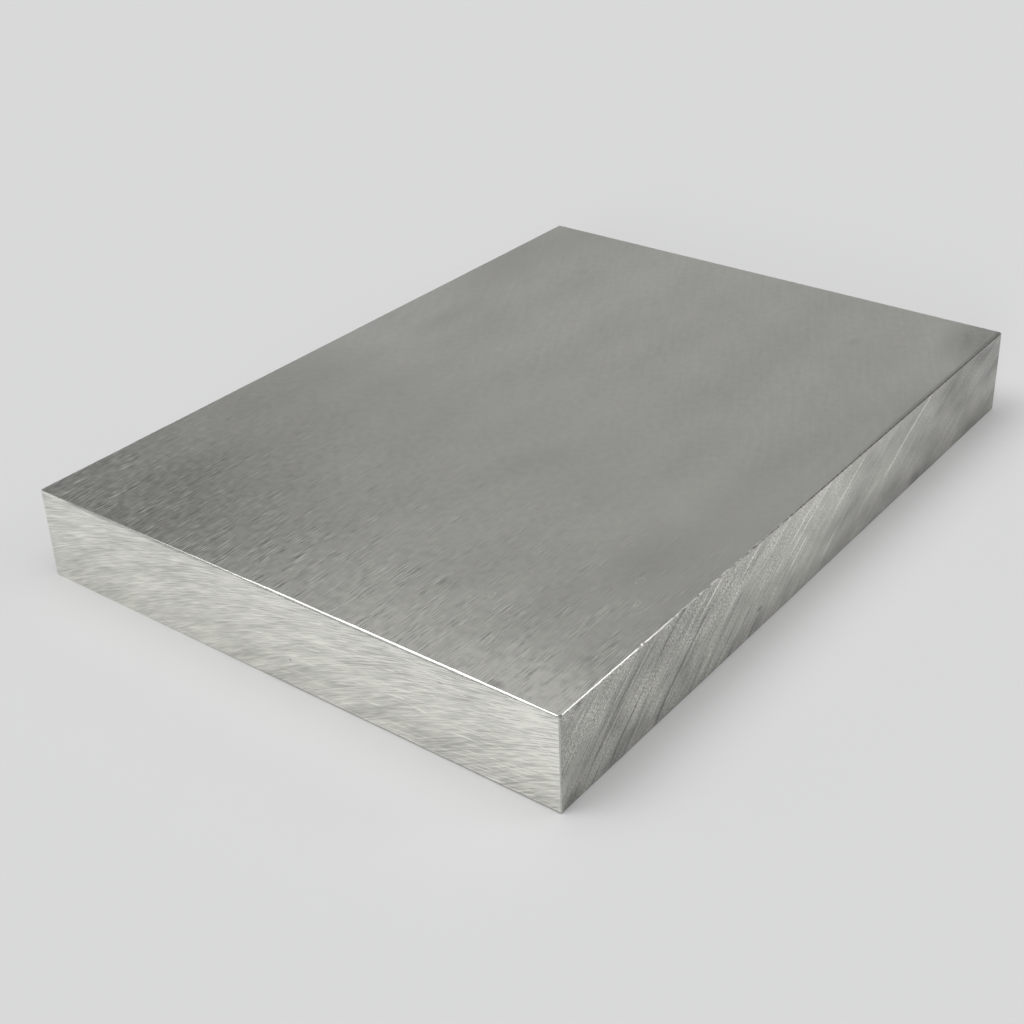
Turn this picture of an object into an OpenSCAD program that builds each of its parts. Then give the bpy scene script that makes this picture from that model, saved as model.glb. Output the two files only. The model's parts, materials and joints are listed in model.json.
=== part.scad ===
// Thick aluminium plate sawn from rolled stock, lying flat.
// Origin at the centre of the underside. X runs along the plate, Y across it, Z up through its thickness.

/* [Plate] */
// Length, from one sawn end to the other
plate_length = 220; // [40:1:2000]
// Width, from one sawn side to the other
plate_width = 160; // [40:1:1000]
// Thickness of the rolled stock
plate_thickness = 25; // [6:0.5:100]

/* [Broken edges] */
// Bevel filed along the long edges of the two ends, measured along each face
end_break = 0.5; // [0.1:0.05:2]
// Bevel filed along the long edges of the two sides
side_break = 0.35; // [0.1:0.05:2]
// Bevel filed down the four upright corners
corner_break = 0.3; // [0.1:0.05:2]

/* [Hidden] */

// How far each outline is drawn out past the faces that trim it
overrun = 1;

// Rectangle on the origin with its four corners cut off at 45 degrees
module broken_rectangle(across, up, cut) {
    x = across / 2;
    y = up / 2;
    polygon([
        [-x + cut, -y], [x - cut, -y],
        [x, -y + cut], [x, y - cut],
        [x - cut, y], [-x + cut, y],
        [-x, y - cut], [-x, -y + cut]
    ]);
}

// Outline seen from above, which carries the upright corners
module plan_block() {
    linear_extrude(plate_thickness + 2 * overrun, center = true)
        broken_rectangle(plate_length, plate_width, corner_break);
}

// Outline seen from a long side, which carries the top and bottom edges of the ends
module side_view_block() {
    rotate([90, 0, 0])
        linear_extrude(plate_width + 2 * overrun, center = true)
            broken_rectangle(plate_length, plate_thickness, end_break);
}

// Outline seen from an end, which carries the top and bottom edges of the sides
module end_view_block() {
    rotate([90, 0, 90])
        linear_extrude(plate_length + 2 * overrun, center = true)
            broken_rectangle(plate_width, plate_thickness, side_break);
}

// The plate is what the three outlines share, so every corner is mitred where its three bevels meet
module plate() {
    color([0.66, 0.66, 0.64])
        translate([0, 0, plate_thickness / 2])
            intersection() {
                plan_block();
                side_view_block();
                end_view_block();
            }
}

plate();
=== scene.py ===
"""A thick aluminium plate, sawn from rolled stock and lying flat on a pale floor.

X runs along the plate, Y across it and Z up from the centre of its underside, all in metres.
"""
import itertools
import json
import math
from collections import namedtuple

import bpy
import numpy as np
from mathutils import Matrix, Vector

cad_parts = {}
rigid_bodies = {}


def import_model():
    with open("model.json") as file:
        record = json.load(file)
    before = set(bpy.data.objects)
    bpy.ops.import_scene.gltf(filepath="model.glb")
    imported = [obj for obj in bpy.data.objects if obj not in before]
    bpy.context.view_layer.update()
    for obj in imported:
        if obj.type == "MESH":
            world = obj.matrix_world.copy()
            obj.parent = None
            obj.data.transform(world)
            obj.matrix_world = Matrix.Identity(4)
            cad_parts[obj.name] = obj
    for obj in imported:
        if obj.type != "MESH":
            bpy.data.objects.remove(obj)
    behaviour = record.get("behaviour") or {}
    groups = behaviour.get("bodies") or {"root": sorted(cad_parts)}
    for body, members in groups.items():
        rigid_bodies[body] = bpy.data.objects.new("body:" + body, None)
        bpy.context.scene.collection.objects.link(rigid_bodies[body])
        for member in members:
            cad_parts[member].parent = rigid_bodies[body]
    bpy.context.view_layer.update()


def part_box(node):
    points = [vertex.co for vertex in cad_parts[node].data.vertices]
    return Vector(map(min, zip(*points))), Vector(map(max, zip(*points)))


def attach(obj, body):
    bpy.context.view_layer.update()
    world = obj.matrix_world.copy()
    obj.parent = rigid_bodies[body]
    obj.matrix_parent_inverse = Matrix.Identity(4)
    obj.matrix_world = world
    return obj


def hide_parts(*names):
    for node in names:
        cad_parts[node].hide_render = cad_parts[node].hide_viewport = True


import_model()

MM = 0.001
LOW, HIGH = (np.array(corner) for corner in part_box("plate"))
LENGTH, WIDTH, THICKNESS = HIGH - LOW

# Bevels left by the file, measured along each face, and the least that is left of one anywhere
END_BREAK = 0.30 * MM
SIDE_BREAK = 0.32 * MM
CORNER_BREAK = 0.36 * MM
LEAST_BREAK = 0.04 * MM

# The burr that the file rode over on the upper edge of the front side
BURR_PLACE = 30 * MM
BURR_WIDTH = 0.8 * MM
BEVEL_BULGE = 0.10  # how far the middle of a bevel stands out, for each unit of its width

# The circular saw: its blade's radius, and how far its middle ran below the plate at each kind of cut
BLADE = 225 * MM
BELOW_SIDE = 148 * MM
BELOW_END = 196 * MM
SIDE_FAN = 0.9  # how much flatter the arcs lie by the far end of a long side
SIDE_STEEP = 0.70  # the distance between two arcs, for each unit between them along the face
END_STEEP = 0.30

# The "hollow" attribute of a point is its depth in a saw mark, of which the deepest counts as 1. Along
# the middle of a filed edge it is twice the share that the file has left untouched, with painted shade
# added on the upper front edge.
DEEPEST = 0.20 * MM

# Single marks of a face, in the same form for both kinds: where on the lower border each begins, its
# width, the heights between which it shows, and then how deep a groove is in millimetres or how strong
# a bright streak is
GROOVES = {
    "front_side": (
        (-14.0 * MM, 0.40 * MM, 12 * MM, 22 * MM, 0.06),
        (5.9 * MM, 0.45 * MM, 3 * MM, 24 * MM, 0.09),
        (8.7 * MM, 0.35 * MM, 8 * MM, 18 * MM, 0.06),
        (16.3 * MM, 0.45 * MM, 2 * MM, 27 * MM, 0.10),
        (27.5 * MM, 0.35 * MM, 16 * MM, 23 * MM, 0.07),
        (34.2 * MM, 0.60 * MM, -2 * MM, 20 * MM, 0.14),
        (65.2 * MM, 0.50 * MM, -2 * MM, 9 * MM, 0.06),
        (110 * MM, 0.60 * MM, -2 * MM, 14 * MM, 0.03),
    ),
    "back_side": (
        (24 * MM, 0.5 * MM, -2 * MM, 27 * MM, 0.07),
        (61 * MM, 0.6 * MM, 5 * MM, 27 * MM, 0.11),
        (98 * MM, 0.4 * MM, -2 * MM, 16 * MM, 0.06),
        (152 * MM, 0.6 * MM, 2 * MM, 22 * MM, 0.08),
    ),
}
STREAKS = {
    "front_side": (
        (27.2 * MM, 0.5 * MM, 16 * MM, 22 * MM, 0.45),
        (31.2 * MM, 0.5 * MM, 19 * MM, 25 * MM, 0.55),
        (46.0 * MM, 0.6 * MM, 21 * MM, 25 * MM, 0.60),
        (58.9 * MM, 0.5 * MM, 17 * MM, 25 * MM, 0.60),
        (72.6 * MM, 0.5 * MM, 17 * MM, 25 * MM, 0.45),
        (74.7 * MM, 0.4 * MM, 19 * MM, 24 * MM, 0.40),
        (77.0 * MM, 0.6 * MM, 14 * MM, 25 * MM, 0.60),
        (72.5 * MM, 0.6 * MM, 11 * MM, 13 * MM, 0.35),
        (78.4 * MM, 0.5 * MM, 6 * MM, 10 * MM, 0.35),
        (82.6 * MM, 0.6 * MM, 9 * MM, 14 * MM, 0.45),
        (86.7 * MM, 0.6 * MM, 6 * MM, 8 * MM, 0.35),
        (96.5 * MM, 0.8 * MM, 15 * MM, 22 * MM, 0.50),
        (106.8 * MM, 0.7 * MM, 4 * MM, 8 * MM, 0.30),
        (129.5 * MM, 0.8 * MM, 11 * MM, 25 * MM, 0.45),
    ),
    "back_side": (
        (52 * MM, 0.6 * MM, 15 * MM, 25 * MM, 0.5),
        (55 * MM, 0.5 * MM, 18 * MM, 25 * MM, 0.4),
        (75 * MM, 0.8 * MM, 6 * MM, 16 * MM, 0.4),
        (118 * MM, 0.8 * MM, 12 * MM, 25 * MM, 0.5),
    ),
}


# ---------------------------------------------------------------- shader values

class Value:
    """A number or colour that varies over a surface. Python's signs on it add Math nodes."""

    def __init__(self, finish, socket):
        self.finish = finish
        self.socket = socket

    def math(self, operation, *numbers):
        return self.finish.node("Math", {"operation": operation}, dict(enumerate(numbers)))

    def __add__(self, other):
        return self.math("ADD", self, other)

    def __radd__(self, other):
        return self.math("ADD", other, self)

    def __sub__(self, other):
        return self.math("SUBTRACT", self, other)

    def __rsub__(self, other):
        return self.math("SUBTRACT", other, self)

    def __mul__(self, other):
        return self.math("MULTIPLY", self, other)

    def __rmul__(self, other):
        return self.math("MULTIPLY", other, self)

    def __truediv__(self, other):
        return self.math("DIVIDE", self, other)

    def __pow__(self, other):
        return self.math("POWER", self, other)

    def __abs__(self):
        return self.math("ABSOLUTE", self)


class Finish:
    """One material, or the world, while its nodes are being laid."""

    def __init__(self, holder):
        self.holder = holder
        holder.use_nodes = True
        self.tree = holder.node_tree
        self.tree.nodes.clear()

    def node(self, kind, settings=None, sockets=None, out=0):
        """Adds a node: its settings are set first, then each socket takes a value or a link."""
        made = self.tree.nodes.new("ShaderNode" + kind)
        for name, setting in (settings or {}).items():
            setattr(made, name, setting)
        for key, given in (sockets or {}).items():
            if isinstance(given, Value):
                self.tree.links.new(given.socket, made.inputs[key])
            else:
                made.inputs[key].default_value = given
        return Value(self, made.outputs[out]) if made.outputs else None

    def position(self):
        return self.node("NewGeometry", out="Position")

    def dot(self, vector, way):
        """How far a vector reaches along a way of length 1."""
        settings = {"operation": "DOT_PRODUCT"}
        return self.node("VectorMath", settings, {0: vector, 1: tuple(way)}, "Value")

    def noise(self, x, y, seed, detail=1.0):
        """Smooth noise from 0 to 1, with about one hump for each unit of x and of y."""
        spot = self.node("CombineXYZ", None, {0: x, 1: y, 2: float(seed)})
        return self.node("TexNoise", None, {"Vector": spot, "Scale": 1.0, "Detail": detail})

    def between(self, value, low, high, start=0.0, end=1.0):
        """Goes from start to end, eased, as the value goes from low to high."""
        return self.node(
            "MapRange", {"interpolation_type": "SMOOTHSTEP"},
            {"Value": value, "From Min": low, "From Max": high, "To Min": start, "To Max": end})

    def band(self, value, rise, full, fall, gone):
        """0, but easing up to 1 from rise to full and back from fall to gone."""
        return self.between(value, rise, full) * self.between(value, fall, gone, 1.0, 0.0)

    def tint(self, share, dark, light):
        """A colour between two, by a share from 0 to 1."""
        return self.node("Mix", {"data_type": "RGBA", "clamp_factor": True},
                         {0: share, 6: (*dark, 1.0), 7: (*light, 1.0)}, 2)


# ---------------------------------------------------------------- the six faces

class Face:
    """One flat face, seen from outside: u runs to the right and v runs up."""

    def __init__(self, start, right, up, size):
        self.start = np.array(start)
        self.right = np.array(right, float)
        self.up = np.array(up, float)
        self.out = np.cross(self.right, self.up)
        self.size = size

    def spots(self, u, v, sunk):
        """Points at u and v, sunk so far into the metal."""
        return self.start + np.outer(u, self.right) + np.outer(v, self.up) - np.outer(sunk, self.out)

    def shader_uv(self, finish):
        """u and v as shader values."""
        point = finish.position()
        u = finish.dot(point, self.right) - float(self.start @ self.right)
        v = finish.dot(point, self.up) - float(self.start @ self.up)
        return u, v


X, Y, Z = np.eye(3)
FACES = {
    "top": Face((LOW[0], LOW[1], HIGH[2]), X, Y, (LENGTH, WIDTH)),
    "bottom": Face((LOW[0], HIGH[1], LOW[2]), X, -Y, (LENGTH, WIDTH)),
    "front_side": Face((LOW[0], LOW[1], LOW[2]), X, Z, (LENGTH, THICKNESS)),
    "back_side": Face((HIGH[0], HIGH[1], LOW[2]), -X, Z, (LENGTH, THICKNESS)),
    "left_end": Face((LOW[0], HIGH[1], LOW[2]), -Y, Z, (WIDTH, THICKNESS)),
    "right_end": Face((HIGH[0], LOW[1], LOW[2]), Y, Z, (WIDTH, THICKNESS)),
}
ROLLED = ("top", "bottom")
SIDES = ("front_side", "back_side")
ENDS = ("left_end", "right_end")
SEEDS = {name: 10 * (i + 1) for i, name in enumerate(FACES)}

# Each edge: its axis, the two faces that it joins, with the border of each that lies on it, its width
EDGES = {
    "front_top": (0, ("front_side", "high_v"), ("top", "low_v"), SIDE_BREAK),
    "back_top": (0, ("back_side", "high_v"), ("top", "high_v"), SIDE_BREAK),
    "front_bottom": (0, ("front_side", "low_v"), ("bottom", "high_v"), SIDE_BREAK),
    "back_bottom": (0, ("back_side", "low_v"), ("bottom", "low_v"), SIDE_BREAK),
    "left_top": (1, ("left_end", "high_v"), ("top", "low_u"), END_BREAK),
    "right_top": (1, ("right_end", "high_v"), ("top", "high_u"), END_BREAK),
    "left_bottom": (1, ("left_end", "low_v"), ("bottom", "low_u"), END_BREAK),
    "right_bottom": (1, ("right_end", "low_v"), ("bottom", "high_u"), END_BREAK),
    "front_left": (2, ("front_side", "low_u"), ("left_end", "high_u"), CORNER_BREAK),
    "front_right": (2, ("front_side", "high_u"), ("right_end", "low_u"), CORNER_BREAK),
    "back_right": (2, ("back_side", "low_u"), ("right_end", "high_u"), CORNER_BREAK),
    "back_left": (2, ("back_side", "high_u"), ("left_end", "low_u"), CORNER_BREAK),
}


# ---------------------------------------------------------------- saw marks

def shift(name, v):
    """How far right a saw mark's arc has moved by height v, for numbers or shader values."""
    if name in ROLLED:
        return 0.0
    below = BELOW_SIDE if name in SIDES else BELOW_END
    at_border = (BLADE ** 2 - below ** 2) ** 0.5
    return at_border - (BLADE ** 2 - (v + below) ** 2) ** 0.5


def foot(name, u, v):
    """Where on the lower border the arc through a spot begins, for numbers or shader values."""
    fan = SIDE_FAN if name in SIDES else 0.0
    return u - shift(name, v) * (1 + u * (fan / LENGTH))


def grain(name, u, v):
    """Places along and across the saw marks of a face, for numbers or shader values."""
    return v + shift(name, v), foot(name, u, v) * (SIDE_STEEP if name in SIDES else END_STEEP)


def ripple(x, y, seed):
    """Smooth noise from -1 to 1, with about one hump for each unit of x and of y."""
    table = np.random.default_rng(seed).uniform(-1, 1, (1024, 128))
    columns, rows = table.shape
    x, y = np.broadcast_arrays(x, y)
    column, row = np.floor(x).astype(int), np.floor(y).astype(int)
    fx, fy = x - column, y - row
    fx, fy = fx * fx * (3 - 2 * fx), fy * fy * (3 - 2 * fy)
    left, right = column % columns, (column + 1) % columns
    lower, upper = row % rows, (row + 1) % rows
    near = table[left, lower] * (1 - fy) + table[left, upper] * fy
    far = table[right, lower] * (1 - fy) + table[right, upper] * fy
    return near * (1 - fx) + far * fx


def blend(place, low, high):
    """0 below low, 1 above high, eased between."""
    share = np.clip((place - low) / (high - low), 0, 1)
    return share * share * (3 - 2 * share)


def sawn_depth(name, u, v):
    """Depth of the saw marks: soft waves, fine lines and here and there a groove from a proud tooth."""
    along, across = grain(name, u, v)
    seed = SEEDS[name]
    if name in SIDES:
        worn = 1 - 0.8 * blend(u, 0.28 * LENGTH, 0.50 * LENGTH)
        waves = 0.009 * ripple(across / (1.1 * MM), along / (30 * MM), seed)
        fine = 0.018 * ripple(across / (0.52 * MM), along / (9 * MM), seed + 1)
        groove = 0.22 * np.maximum(ripple(across / (0.50 * MM), along / (20 * MM), seed + 2) - 0.64, 0)
        marks = worn * (waves + fine + groove)
        for place, width, low, high, deep in GROOVES[name]:
            wander = 0.5 * MM * ripple(along / (9 * MM), 0 * along, seed + 4)
            broken = 0.75 + 0.5 * ripple(along / (5 * MM), 0 * along + place / MM, seed + 5)
            shown = blend(v, low - 2 * MM, low + 2 * MM) * (1 - blend(v, high - 3 * MM, high + 2 * MM))
            off_line = foot(name, u, v) + wander - place
            marks = marks + deep * shown * broken * np.exp(-(off_line / width) ** 2)
    else:
        waves = 0.010 * ripple(across / (1.1 * MM), along / (18 * MM), seed)
        hairs = 0.012 * ripple(across / (0.48 * MM), along / (7 * MM), seed + 1)
        groove = 0.08 * np.maximum(ripple(across / (0.66 * MM), along / (10 * MM), seed + 2) - 0.6, 0)
        marks = 0.8 * (waves + hairs + groove)
    drift = 0.010 * ripple(across / (10 * MM), along / (45 * MM), seed + 3)
    return np.maximum(0.040 + marks + drift, 0) * MM


def rolled_depth(name, u, v):
    """Depth of the shallow hollows left by the rolls on a broad face."""
    return np.maximum(0.004 + 0.006 * ripple(u / (60 * MM), v / (18 * MM), SEEDS[name]), 0) * MM


def depth(name, u, v):
    return rolled_depth(name, u, v) if name in ROLLED else sawn_depth(name, u, v)


# ---------------------------------------------------------------- filed edges

def missed_and_shaded(edge, s):
    """How much of an edge at s along it the file has left untouched, from 0 to 1: there it is ragged and
    dark. On the upper front edge it also holds painted shade.
    """
    seed = 100 + list(EDGES).index(edge)
    if edge == "front_top":
        # A nick where it starts, then smooth for a seventh of the length, and beyond that darker and more
        # ragged in steps, the darkness there being painted shade for the dark line along the edge
        gap = 0.9 - 0.9 * blend(s, 0.5 * MM, 1.3 * MM)
        for begin, end, step in ((0.14, 0.22, 0.50), (0.27, 0.34, 0.15), (0.40, 0.47, 0.30)):
            gap = gap + step * blend(s, begin * LENGTH, end * LENGTH)
        return gap
    if edge == "left_top":
        return 0.8 * blend(s, 0.80 * WIDTH, WIDTH)
    if edge in ("left_bottom", "front_left"):
        return 0.2 + 0 * s
    return 0.7 * blend(ripple(s / (45 * MM), 0 * s, seed), 0.0, 0.7)


def filed_width(edge, s):
    """Width of the filed bevel at s along an edge, from the plate's lowest corner on that axis."""
    width = EDGES[edge][-1]
    seed = 60 + list(EDGES).index(edge)
    gap = missed_and_shaded(edge, s)
    even = 1 + 0.12 * ripple(s / (9 * MM), 0 * s, seed)
    even = even + 0.03 * ripple(s / (1.7 * MM), 0 * s, seed + 20)
    ragged = 0.75 + 0.35 * ripple(s / (0.9 * MM), 0 * s, seed + 40)
    if edge == "front_top":
        # Wider over the burr, then with teeth beyond it, which die out before the middle
        even = 1.1 * even + 1.2 * np.exp(-((s - BURR_PLACE) / BURR_WIDTH) ** 2)
        teeth = np.maximum(ripple(s / (1.2 * MM), 0 * s, seed + 60), 0)
        teeth = teeth * (1 - blend(s, 0.36 * LENGTH, 0.46 * LENGTH))
        ragged = 0.4 * ragged + 1.0 + 1.2 * teeth + 0.35 * blend(s, 0.5 * LENGTH, 0.8 * LENGTH)
    if edge == "left_top":
        # Widest by the near corner, and tapering to a hair at the other end
        taper = 0.55 * (blend(s, 0.46 * WIDTH, 0.62 * WIDTH) + blend(s, 0.62 * WIDTH, 0.78 * WIDTH))
        even = even * (1.05 + 0.65 * blend(s, 4 * MM, 18 * MM) - taper)
        ragged = 0.5 * ragged
    if edge == "left_bottom":
        even = even * (1.7 - 1.4 * blend(s, 0.40 * WIDTH, 0.75 * WIDTH))
    return np.maximum(width * (even * (1 - gap) + ragged * gap), LEAST_BREAK)


def insets(name):
    """For each border of a face, the bevel's width there as a function of u or v."""
    face = FACES[name]
    found = {}
    for edge, (axis, *sides, _) in EDGES.items():
        for joined, border in sides:
            if joined == name:
                running = face.up if border in ("low_u", "high_u") else face.right
                forward = running[axis] > 0
                span = (LENGTH, WIDTH, THICKNESS)[axis]
                found[border] = lambda s, e=edge, f=forward, w=span: filed_width(e, s if f else w - s)
    return found


# ---------------------------------------------------------------- the skin

SHARP_ANGLE = math.radians(28)  # a fold past this between two triangles keeps its crease

Row = namedtuple("Row", "places ids spots")


class Skin:
    """The plate's surface while it is built: a patch for each face and edge, and one for the corners."""

    def __init__(self):
        self.count = 0
        self.points = []
        self.hollows = []
        self.triangles = {}
        self.borders = {}

    def add_row(self, places, spots, hollow):
        """Adds points, with what each has in the "hollow" attribute, and gives them back as a row."""
        ids = np.arange(self.count, self.count + len(spots))
        self.count += len(spots)
        self.points.append(spots)
        self.hollows.append(np.broadcast_to(hollow, len(spots)))
        return Row(places, ids, spots)

    def zip_rows(self, patch, lower, upper):
        """Joins two rows into triangles, stepping to whichever row's next place comes first."""
        order = np.argsort(np.concatenate((lower.places[1:], upper.places[1:])), kind="stable")
        on_lower = order < len(lower.places) - 1
        i = np.cumsum(on_lower) - on_lower
        j = np.cumsum(~on_lower) - ~on_lower
        next_lower = lower.ids[np.minimum(i + 1, len(lower.ids) - 1)]
        next_upper = upper.ids[np.minimum(j + 1, len(upper.ids) - 1)]
        third = np.where(on_lower, next_lower, next_upper)
        made = np.stack((lower.ids[i], third, upper.ids[j]), axis=1)
        # Rows that share an end point would give a triangle with no area there
        whole = (made[:, 0] != made[:, 1]) & (made[:, 1] != made[:, 2]) & (made[:, 2] != made[:, 0])
        self.triangles.setdefault(patch, []).append(made[whole])


def add_face(skin, name, rows, reach, step, border_step):
    """Covers a face with rows of points along u, which follow the saw's arcs from row to row.

    The rows straighten out from the ragged edges of the face over as many rows as reach says.
    """
    face, inset = FACES[name], insets(name)
    run, rise = face.size
    fan = SIDE_FAN if name in SIDES else 0.0
    made = []
    for row in range(rows + 1):
        level = rise * row / rows
        moved = shift(name, level)
        spacing = border_step if min(row, rows - row) < 2 else step
        # The row's own two ends stand back from the bevels there
        begin = max(float(inset["low_u"](level)) - float(depth(name, 0.0, level)), LEAST_BREAK)
        end = run - max(float(inset["high_u"](level)) - float(depth(name, run, level)), LEAST_BREAK)
        u = (np.arange(-run, 2 * run, spacing) + moved) / (1 - fan * moved / run)
        u = u[(u > begin + 0.4 * spacing) & (u < end - 0.4 * spacing)]
        u = np.concatenate(([begin], u, [end]))
        low = np.maximum(inset["low_v"](u) - depth(name, u, 0 * u), LEAST_BREAK)
        high = np.maximum(inset["high_v"](u) - depth(name, u, 0 * u + rise), LEAST_BREAK)
        v = level + low * max(1 - row / reach, 0) - high * max(1 - (rows - row) / reach, 0)
        sunk = depth(name, u, v)
        places = u - moved * (1 + fan * u / run)
        made.append(skin.add_row(places, face.spots(u, v, sunk), sunk / DEEPEST))
    for lower, upper in zip(made, made[1:]):
        skin.zip_rows(name, lower, upper)
    skin.borders[name] = {"low_v": made[0], "high_v": made[-1]}
    for border, at in (("low_u", 0), ("high_u", -1)):
        ids = np.array([row.ids[at] for row in made])
        spots = np.array([row.spots[at] for row in made])
        skin.borders[name][border] = Row(None, ids, spots)


def add_bevel(skin, edge):
    """Fills an edge between the borders of its two faces, with a middle row that rounds it a little."""
    axis, *sides, _ = EDGES[edge]
    rows = []
    for name, border in sides:
        row = skin.borders[name][border]
        order = np.argsort(row.spots[:, axis])
        rows.append(Row(row.spots[order, axis], row.ids[order], row.spots[order]))
    sparse, dense = sorted(rows, key=lambda row: len(row.ids))
    way_out = sum(FACES[name].out for name, _ in sides) / math.sqrt(2)
    places, own = dense.places[1:-1], dense.spots[1:-1]
    across = np.column_stack([np.interp(places, sparse.places, sparse.spots[:, k]) for k in range(3)])
    gap = np.linalg.norm(own - across, axis=1)
    middle = (own + across) / 2 + np.outer(BEVEL_BULGE * gap, way_out)
    added = skin.add_row(places, middle, 2 * missed_and_shaded(edge, places - LOW[axis]))
    # The middle row shares its two end points with the sparser row
    ends = [0, -1]
    places = np.insert(sparse.places[ends], 1, added.places)
    ids = np.insert(sparse.ids[ends], 1, added.ids)
    centre = Row(places, ids, None)
    skin.zip_rows(edge, dense, centre)
    skin.zip_rows(edge, centre, sparse)


def add_corners(skin):
    """Closes each corner with the triangle between its three faces."""
    tips = {name: [(skin.borders[name][row].ids[at], skin.borders[name][row].spots[at])
                   for row in ("low_v", "high_v") for at in (0, -1)] for name in FACES}
    for corner in itertools.product(*zip(LOW, HIGH)):
        def away(tip):
            return math.dist(tip[1], corner)

        nearest = sorted((min(four, key=away) for four in tips.values()), key=away)
        triangle = [tip[0] for tip in nearest[:3]]
        skin.triangles.setdefault("corners", []).append(np.array([triangle]))


def build_skin():
    skin = Skin()
    for name in ROLLED:
        add_face(skin, name, rows=160, reach=1, step=8 * MM, border_step=0.5 * MM)
    for name in SIDES + ENDS:
        add_face(skin, name, rows=34, reach=34, step=0.36 * MM, border_step=0.36 * MM)
    for edge in EDGES:
        add_bevel(skin, edge)
    add_corners(skin)
    return skin


# Every patch of the skin has a rectangle of a square map, which stands for this much metal. The underside
# and the corners are shrunk there, and the bevels are stretched along and across.
MAP_SIZE = 300 * MM
MAP_GAP = 3 * MM
UNDERSIDE_SCALE = 0.45
CORNER_SCALE = 0.02
UPRIGHT_BEVEL_SCALES = (1.5, 4.0)
LYING_BEVEL_SCALES = (0.8, 3.0)


def map_places():
    """For each patch: the two ways laid along the map, where it starts there, and its two scales."""
    below_top = 2 * MAP_GAP + WIDTH
    below_sides = below_top + 2 * (MAP_GAP + THICKNESS)
    beside_sides = 2 * MAP_GAP + LENGTH
    beside_bottom = 3 * MAP_GAP + UNDERSIDE_SCALE * LENGTH
    places = {
        "top": (X, Y, MAP_GAP, MAP_GAP, 1.0, 1.0),
        "left_end": (Z, Y, 2 * MAP_GAP + LENGTH, MAP_GAP, 1.0, 1.0),
        "right_end": (Z, Y, 3 * MAP_GAP + LENGTH + THICKNESS, MAP_GAP, 1.0, 1.0),
        "front_side": (X, Z, MAP_GAP, below_top, 1.0, 1.0),
        "back_side": (X, Z, MAP_GAP, below_top + MAP_GAP + THICKNESS, 1.0, 1.0),
        "bottom": (X, Y, MAP_GAP, below_sides, UNDERSIDE_SCALE, UNDERSIDE_SCALE),
    }
    upright, lying = below_top, below_sides
    for edge, (axis, (first, _), (second, _), _) in EDGES.items():
        slant = (FACES[first].out - FACES[second].out) / math.sqrt(2)
        if axis == 2:
            places[edge] = (Z, slant, beside_sides, upright, *UPRIGHT_BEVEL_SCALES)
            upright += 2 * MAP_GAP
        else:
            places[edge] = ((X, Y)[axis], slant, beside_bottom, lying, *LYING_BEVEL_SCALES)
            lying += 2.6 * MAP_GAP
    places["corners"] = (X, Y, beside_sides, upright, CORNER_SCALE, CORNER_SCALE)
    return places


def outward(patch, spots):
    """The way out of the metal at a patch, or from the plate's middle at the corners."""
    if patch in FACES:
        return FACES[patch].out
    if patch in EDGES:
        return sum(FACES[name].out for name, _ in EDGES[patch][1:3])
    return spots[0, 0] - (LOW + HIGH) / 2


def facing_out(points, patch, block):
    """A strip of triangles with its corners in the order that faces them all out of the metal."""
    spots = points[block]
    facing = np.cross(spots[:, 1] - spots[:, 0], spots[:, 2] - spots[:, 0]).sum(0)
    return block if facing @ outward(patch, spots) > 0 else block[:, ::-1]


def make_mesh(skin, finishes):
    """Turns the skin into a mesh, its triangles all facing out, with its finishes and its map."""
    points = np.concatenate(skin.points)
    places = map_places()
    triangles, slots, spread = [], [], []
    for patch, blocks in skin.triangles.items():
        block = np.concatenate([facing_out(points, patch, strip) for strip in blocks])
        across, upward, x, y, x_scale, y_scale = places[patch]
        flat = np.stack([points[block] @ across, points[block] @ upward], axis=-1)
        flat = flat - flat.reshape(-1, 2).min(0)
        triangles.append(block)
        slots.append(np.full(len(block), list(finishes).index(patch if patch in finishes else "filed")))
        spread.append((np.array((x, y)) + flat * (x_scale, y_scale)) / MAP_SIZE)

    mesh = bpy.data.meshes.new("aluminium_plate")
    mesh.from_pydata(points.tolist(), [], np.concatenate(triangles).tolist())
    mesh.uv_layers.new(name="OFBake").data.foreach_set("uv", np.concatenate(spread).ravel())
    hollow = mesh.attributes.new("hollow", "FLOAT", "POINT")
    hollow.data.foreach_set("value", np.concatenate(skin.hollows))
    for finish in finishes.values():
        mesh.materials.append(finish)
    mesh.polygons.foreach_set("material_index", np.concatenate(slots))
    mesh.shade_smooth()
    mesh.set_sharp_from_angle(angle=SHARP_ANGLE)
    mesh.update()
    return mesh


# ---------------------------------------------------------------- finishes

def metal(finish, colour, roughness, height, relief):
    """Bare metal of this colour and roughness, with its height map as a bump this deep."""
    bump = finish.node("Bump", None, {"Strength": 1.0, "Distance": relief, "Height": height})
    shader = finish.node("BsdfPrincipled", None, {
        "Base Color": colour, "Metallic": 1.0, "Roughness": roughness, "Normal": bump})
    finish.node("OutputMaterial", None, {"Surface": shader})
    return finish.holder


def patch_mask(finish, u, v, place, size):
    """1 at a place on a face, easing to 0 at the rim of an oval round it."""
    reach = (((u - place[0]) / size[0]) ** 2 + ((v - place[1]) / size[1]) ** 2) ** 0.5
    return finish.between(reach, 0.0, 1.0, 1.0, 0.0)


def smudges_and_painted_light(finish, name, u, v, mottle):
    """How much lighter or darker a face is for its smudged spots and its patches of painted light and
    shade, which are mottled.
    """
    total = 0.0
    for place, size, strength in SMUDGES_AND_PAINTED_LIGHT.get(name, ()):
        total = patch_mask(finish, u, v, place, size) * (mottle * (2 * strength)) + total
    return total


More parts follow.
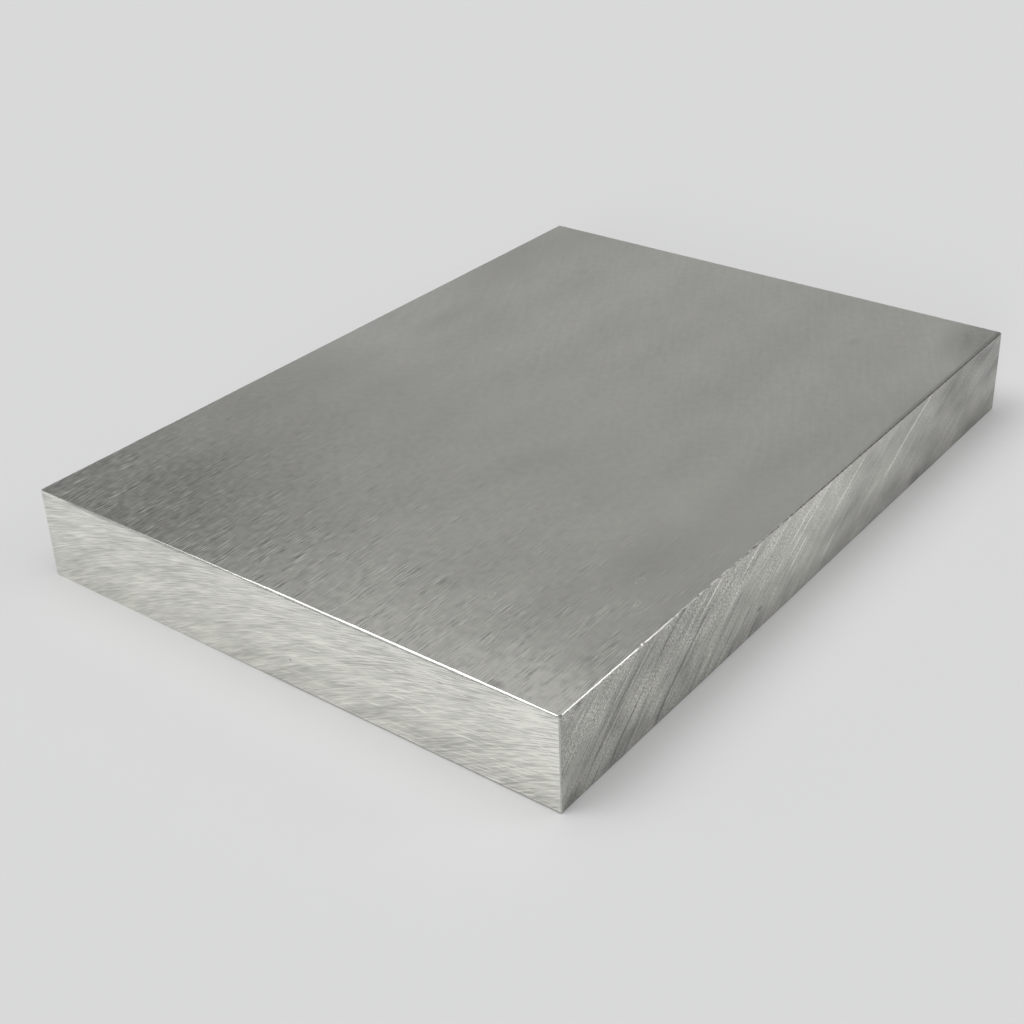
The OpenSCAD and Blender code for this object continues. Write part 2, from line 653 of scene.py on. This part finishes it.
def curl(finish, u, v, place, radius):
    """A faint scratch that turns on itself: 1 along its line."""
    wander = finish.noise(u / (1.2 * MM), v / (1.2 * MM), 31.0)
    reach = ((u - place[0]) ** 2 + ((v - place[1]) * 1.7) ** 2) ** 0.5 + (wander - 0.5) * (2.4 * MM)
    return finish.between(abs(reach - radius), 0.05 * MM, 0.22 * MM, 1.0, 0.0)


# Smudges, worn spots and patches of painted light and shade: place, size and how much lighter or darker
# than the metal round it
SMUDGES_AND_PAINTED_LIGHT = {
    "top": (
        # A painted highlight by the near left corner
        ((4 * MM, 6 * MM), (16 * MM, 34 * MM), 0.26),
        ((1.6 * MM, 17 * MM), (2.2 * MM, 3.2 * MM), -0.40),
        ((211 * MM, 5 * MM), (24 * MM, 12 * MM), -0.26),
        ((52 * MM, 6 * MM), (75 * MM, 36 * MM), -0.09),
        # Painted shade by the far right corner
        ((206 * MM, 152 * MM), (60 * MM, 22 * MM), -0.12),
        ((136 * MM, 143 * MM), (24 * MM, 7 * MM), -0.08),
        ((190 * MM, 129 * MM), (3.5 * MM, 3.0 * MM), -0.09),
        ((190 * MM, 33 * MM), (4.5 * MM, 2.5 * MM), -0.10),
    ),
    "front_side": (
        ((4 * MM, 1.5 * MM), (6 * MM, 4 * MM), -0.30),
        ((6.5 * MM, 24 * MM), (2.5 * MM, 1.6 * MM), -0.35),
        ((80.5 * MM, 5.8 * MM), (1.9 * MM, 0.9 * MM), -0.45),
        ((166 * MM, 1.5 * MM), (5 * MM, 3 * MM), -0.30),
        ((207 * MM, 22.5 * MM), (9 * MM, 3 * MM), -0.20),
    ),
    "left_end": (
        ((84 * MM, 7.6 * MM), (0.8 * MM, 0.5 * MM), -0.60),
        ((129 * MM, 20.2 * MM), (1.3 * MM, 0.4 * MM), -0.50),
        # A painted glint
        ((123 * MM, 10.4 * MM), (3.0 * MM, 0.5 * MM), 0.60),
    ),
}
# Faint curled scratches on the top: place and radius
CURLS = (
    ((50 * MM, 14 * MM), 1.5 * MM),
    ((42 * MM, 9.6 * MM), 1.1 * MM),
    ((27 * MM, 38 * MM), 1.2 * MM),
)
CURL_SPREAD = (2.6 * MM, 2.0 * MM)


def rolled_metal(name):
    """Mill finish: fine dashes along the plate, plainest by the left end, fading into a soft haze."""
    finish = Finish(bpy.data.materials.new("rolled_" + name))
    u, v = FACES[name].shader_uv(finish)
    seed = SEEDS[name]
    dashes = finish.noise(u / (5.5 * MM), v / (0.28 * MM), seed, 2.0)
    long_dashes = finish.noise(u / (20 * MM), v / (0.52 * MM), seed + 1)
    groups = finish.between(finish.noise(u / (9 * MM), v / (4 * MM), seed + 3, 2.0), 0.42, 0.62)
    mottle = finish.noise(u / (2.2 * MM), v / (2.2 * MM), seed + 4, 3.0)
    haze = finish.noise(u / (34 * MM), v / (20 * MM), seed + 5, 3.0)
    along_wisps = u * 0.88 + v * 0.47
    across_wisps = v * 0.88 - u * 0.47
    wisps = finish.noise(along_wisps / (15 * MM), across_wisps / (1.3 * MM), seed + 6, 2.0)
    near = finish.between(u, 0.0, 45 * MM, 1.0, 0.34) * finish.between(u, 30 * MM, 95 * MM, 1.0, 0.0)
    worked = near * (0.20 + groups * 0.80)
    share = (0.61 + (dashes - 0.5) * 3.4 * worked + (long_dashes - 0.5) * 0.8 * worked
             + (mottle - 0.5) * (0.18 + near * 0.50) + (haze - 0.5) * 0.20
             + (wisps - 0.5) * finish.between(u, 60 * MM, 150 * MM, 0.0, 0.14))
    if name == "top":
        # Painted light and shade from the reflections on the top: darker over its far left part, lighter
        # by the near half of the left border
        painted_shade_corner = finish.between(u, -20 * MM, 125 * MM, 1.0, 0.0)
        painted_shade_corner = painted_shade_corner * finish.between(v, 60 * MM, 140 * MM)
        painted_light_border = finish.between(u, 0.0, 30 * MM, 1.0, 0.0)
        painted_light_border = painted_light_border * finish.between(v, 50 * MM, 110 * MM, 1.0, 0.0)
        # Painted shade: a dark line along the front edge of the top over its right part, with a faint
        # band beside it
        painted_rim_shade = finish.between(v, 0.5 * MM, 1.5 * MM, 0.30, 0.0)
        painted_rim_shade = painted_rim_shade + finish.between(v, 0.0, 5 * MM, 0.08, 0.0)
        painted_rim_shade = painted_rim_shade * finish.between(u, 110 * MM, 160 * MM)
        share = share - painted_shade_corner * 0.40 + painted_light_border * 0.16 - painted_rim_shade
        share = share + smudges_and_painted_light(finish, name, u, v, mottle)
        for place, radius in CURLS:
            line = curl(finish, u, v, place, radius)
            share = share + line * patch_mask(finish, u, v, place, CURL_SPREAD) * 0.5
    colour = finish.tint(share, (0.30, 0.298, 0.279), (1.0, 0.995, 0.931))
    roughness = 0.34 + (haze - 0.5) * 0.06 - (dashes - 0.5) * 0.25 * worked
    height = (dashes + long_dashes * 0.4) * worked
    return metal(finish, colour, roughness, height, 0.04 * MM)


def sawn_side(name):
    """Long side: grooves in grainy metal, with painted shade in their hollows, bright streaks by the
    middle, smoother at the far end.
    """
    finish = Finish(bpy.data.materials.new("sawn_" + name))
    u, v = FACES[name].shader_uv(finish)
    along, across = grain(name, u, v)
    seed = SEEDS[name]
    hollow = finish.node("Attribute", {"attribute_name": "hollow"}, out="Fac")
    lines = finish.noise(along / (16 * MM), across / (0.26 * MM), seed)
    grit = finish.noise(along / (0.6 * MM), across / (0.28 * MM), seed + 1, 2.0)
    bands = finish.noise(along / (14 * MM), across / (2.4 * MM), seed + 2, 2.0)
    cloud = finish.noise(u / (14 * MM), v / (8 * MM), seed + 3, 3.0)
    flecks = finish.noise(along / (5 * MM), across / (0.40 * MM), seed + 4)
    ragged = finish.noise(along / (2.2 * MM), across / (0.5 * MM), seed + 5, 2.0)

    # Where along the face, and how high on it, each kind of mark shows
    near = finish.between(u, 0.26 * LENGTH, 0.50 * LENGTH, 1.0, 0.0)
    by_middle = finish.band(u, 0.20 * LENGTH, 0.38 * LENGTH, 0.46 * LENGTH, 0.68 * LENGTH)
    broad_middle = finish.band(u, 0.22 * LENGTH, 0.42 * LENGTH, 0.62 * LENGTH, 0.86 * LENGTH)
    far = finish.between(u, 0.66 * LENGTH, 0.92 * LENGTH)
    far = far * finish.between(v, 0.1 * THICKNESS, 0.8 * THICKNESS, 0.3, 1.0)
    high = finish.between(v, 0.25 * THICKNESS, 0.95 * THICKNESS)
    crisp = finish.between(v, 0.0, THICKNESS, 0.65, 1.25)
    gritty = crisp * (0.45 + near * 0.65 + by_middle * high * 0.45)
    gritty = gritty * finish.between(cloud, 0.36, 0.60, 0.55, 1.25)
    bright = finish.between(flecks, 0.60, 0.78) * by_middle * high

    # The metal's own tone, with a painted highlight towards the top by the middle (the broad_middle term)
    # and, on the next line, painted shade darkening the lower half towards the floor
    tone = 0.44 - far * 0.26 + by_middle * 0.14 + broad_middle * (high - 0.2) * 0.12
    tone = tone + finish.between(v, 0.0, 0.5 * THICKNESS, -0.10, 0.0)
    share = tone + (lines - 0.5) * (0.45 + near * 0.6 + by_middle * 0.6) * crisp
    share = share + (grit - 0.5) * 2.3 * gritty + (bands - 0.5) * (0.4 + near * 0.2)
    # The hollow term is painted shade: darker in the saw marks' hollows, lighter on their crests
    share = share + (cloud - 0.5) * 0.8 + bright * 0.8 - (hollow - 0.20) * 1.1
    start = foot(name, u, v) + (ragged - 0.5) * (1.6 * MM)
    shine = flecks * 2.0 + grit * 2.2 - 1.1
    for place, width, low, top, strength in STREAKS[name]:
        line = finish.between(abs(start - place), 0.0, width * 1.7, 1.0, 0.0)
        line = line * finish.band(v, low - 2 * MM, low + 2 * MM, top, top + 2 * MM)
        share = share + line * shine * strength
    share = (share + smudges_and_painted_light(finish, name, u, v, cloud)) * 0.78
    colour = finish.tint(share, (0.26, 0.258, 0.241), (0.98, 0.975, 0.912))
    roughness = 0.40 + (cloud - 0.5) * 0.1 + (grit - 0.5) * 0.2 * gritty
    height = lines * 0.5 + grit * gritty + flecks * 0.3
    return metal(finish, colour, roughness, height, 0.05 * MM)


def sawn_end(name):
    """Sawn end: bright, under hair-fine strokes that rise to the right, glinting by the right border."""
    finish = Finish(bpy.data.materials.new("sawn_" + name))
    u, v = FACES[name].shader_uv(finish)
    along, across = grain(name, u, v)
    seed = SEEDS[name]
    hollow = finish.node("Attribute", {"attribute_name": "hollow"}, out="Fac")
    strokes = finish.noise(along / (8 * MM), across / (0.34 * MM), seed, 3.0)
    hairs = finish.noise(along / (12 * MM), across / (0.20 * MM), seed + 1)
    bands = finish.noise(along / (22 * MM), across / (2.2 * MM), seed + 2)
    cloud = finish.noise(u / (24 * MM), v / (8 * MM), seed + 3, 2.0)
    glints = finish.noise(along / (4 * MM), (v - u * 0.14) / (0.42 * MM), seed + 4)
    right = finish.between(u, 0.35 * WIDTH, 0.98 * WIDTH, 0.25, 1.0)
    glint = finish.between(glints, 0.58, 0.72) * right
    high = finish.between(v, 0.2 * THICKNESS, THICKNESS, 0.85, 1.45)
    border = finish.between(u, 0.86 * WIDTH, 0.98 * WIDTH)
    # Painted shade darkens the end towards the floor; by the right border a painted highlight lightens it
    # above a foot that is painted darker
    tone = 0.54 + finish.between(v, 0.0, 0.8 * THICKNESS, -0.13, 0.04)
    tone = tone + border * finish.between(v, 2 * MM, 9 * MM, -0.16, 0.16)
    share = (strokes - 0.5) * (1.2 + right * 0.5 + border * 0.6) + (hairs - 0.5) * 0.9 + glint * 0.8
    share = tone + share * high + (bands - 0.5) * 0.7 + (cloud - 0.5) * 0.4
    # The hollow term is painted shade: darker in the saw marks' hollows, lighter on their crests
    share = share - (hollow - 0.20) * 0.6 + smudges_and_painted_light(finish, name, u, v, cloud)
    if name == "left_end":
        # Painted shadow under the lip that the file pushed over the far half of its top border
        painted_lip_shadow = finish.between(v, THICKNESS - 1.0 * MM, THICKNESS - 0.6 * MM)
        painted_lip_shadow = painted_lip_shadow * finish.band(u, 3 * MM, 14 * MM, 50 * MM, 66 * MM)
        # A painted highlight along the foot of the end, over its right part
        painted_foot_highlight = finish.between(v, 0.6 * MM, 1.2 * MM, 1.0, 0.0)
        painted_foot_highlight = painted_foot_highlight * finish.between(u, 80 * MM, 95 * MM)
        share = share - painted_lip_shadow * 0.45 + painted_foot_highlight * 0.15
    colour = finish.tint(share, (0.50, 0.497, 0.467), (1.0, 0.996, 0.935))
    roughness = 0.36 + (strokes - 0.5) * 0.2 - glint * 0.08
    height = strokes + hairs * 0.4 + glint * 0.5
    return metal(finish, colour, roughness, height, 0.04 * MM)


def filed_metal():
    """Filed bevel: bright, with fine lines, and dark where the file has left it untouched and where
    painted shade is given.
    """
    finish = Finish(bpy.data.materials.new("filed_edge"))
    point = finish.position()
    x, y, z = (finish.dot(point, way) for way in (X, Y, Z))
    hollow = finish.node("Attribute", {"attribute_name": "hollow"}, out="Fac")
    lines = finish.noise((x + z) / (0.5 * MM), (y - z) / (0.5 * MM), 5.0, 2.0)
    share = 0.88 + (lines - 0.5) * 0.2 - hollow * 0.75
    colour = finish.tint(share, (0.18, 0.179, 0.168), (0.78, 0.777, 0.738))
    return metal(finish, colour, 0.28 + (lines - 0.5) * 0.1, lines, 0.004 * MM)


# ---------------------------------------------------------------- floor, light and camera

FLOOR_REACH = 6.0


def plain_floor():
    mesh = bpy.data.meshes.new("floor")
    corners = [(x * FLOOR_REACH, y * FLOOR_REACH, 0) for x, y in ((-1, -1), (1, -1), (1, 1), (-1, 1))]
    mesh.from_pydata(corners, [], [(0, 1, 2, 3)])
    paper = Finish(bpy.data.materials.new("pale_paper"))
    shade = paper.node("BsdfDiffuse", None, {"Color": (0.648, 0.649, 0.651, 1.0)})
    paper.node("OutputMaterial", None, {"Surface": shade})
    mesh.materials.append(paper.holder)
    floor = bpy.data.objects.new("floor", mesh)
    bpy.context.scene.collection.objects.link(floor)


def direction(azimuth, elevation):
    """The way to a point of the sky, its azimuth counted from +X towards +Y, in degrees."""
    turn, tilt = math.radians(azimuth), math.radians(elevation)
    return math.cos(turn) * math.cos(tilt), math.sin(turn) * math.cos(tilt), math.sin(tilt)


# Soft lamps: azimuth, elevation and width in degrees, and strength
LAMPS = {
    "above_left": (137, 56, 35, 0.89),
    "low_left": (200, 14, 16, 0.6),
    "low_right": (-44, 30, 18, 0.20),
}
# How bright the room is by the sine of the elevation: pale walls, a dim band, a broad light overhead
ROOM = ((0.0, 0.68), (0.22, 0.50), (0.45, 0.27), (0.75, 0.25), (1.0, 2.3))


def studio_light():
    world = bpy.data.worlds.new("studio")
    bpy.context.scene.world = world
    sky = Finish(world)
    toward = sky.node("TexCoord", out="Generated")
    height = sky.dot(toward, Z)
    glow = ROOM[0][1]
    for (low, before), (high, after) in zip(ROOM, ROOM[1:]):
        span = {"From Min": low, "From Max": high, "To Min": 0.0, "To Max": after - before}
        glow = glow + sky.node("MapRange", None, {"Value": height, **span})
    back = sky.node("Background", None, {"Color": glow, "Strength": 1.0})
    sky.node("OutputWorld", None, {"Surface": back})
    for name, (azimuth, elevation, spread, strength) in LAMPS.items():
        lamp = bpy.data.lights.new(name, "SUN")
        lamp.energy = strength
        lamp.angle = math.radians(spread)
        holder = bpy.data.objects.new(name, lamp)
        holder.location = direction(azimuth, elevation)
        holder.rotation_euler = holder.location.to_track_quat("Z", "Y").to_euler()
        bpy.context.scene.collection.objects.link(holder)


def add_camera():
    camera = bpy.data.objects.new("camera", bpy.data.cameras.new("camera"))
    camera.data.lens = 57.08
    camera.data.sensor_width = 36.0
    camera.data.shift_x, camera.data.shift_y = -0.039, -0.049
    camera.data.clip_start = 0.01
    turn, tilt, roll = math.radians(-53.10), math.radians(28.99), math.radians(1.327)
    back = Vector((math.sin(turn) * math.cos(tilt), -math.cos(turn) * math.cos(tilt), math.sin(tilt)))
    level = Vector((math.cos(turn), math.sin(turn), 0))
    upright = back.cross(level)
    right = level * math.cos(roll) - upright * math.sin(roll)
    up = upright * math.cos(roll) + level * math.sin(roll)
    place = Vector((-0.3148, -0.2334, 0.2245))
    camera.matrix_world = Matrix.Translation(place) @ Matrix((right, up, back)).transposed().to_4x4()
    bpy.context.scene.collection.objects.link(camera)
    bpy.context.scene.camera = camera


# ---------------------------------------------------------------- the plate

finishes = {name: rolled_metal(name) for name in ROLLED}
finishes.update({name: sawn_side(name) for name in SIDES})
finishes.update({name: sawn_end(name) for name in ENDS})
finishes["filed"] = filed_metal()
plate = bpy.data.objects.new("aluminium_plate", make_mesh(build_skin(), finishes))
bpy.context.scene.collection.objects.link(plate)
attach(plate, "root")
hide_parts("plate")

plain_floor()
studio_light()
add_camera()
bpy.context.scene.view_settings.view_transform = "Standard"
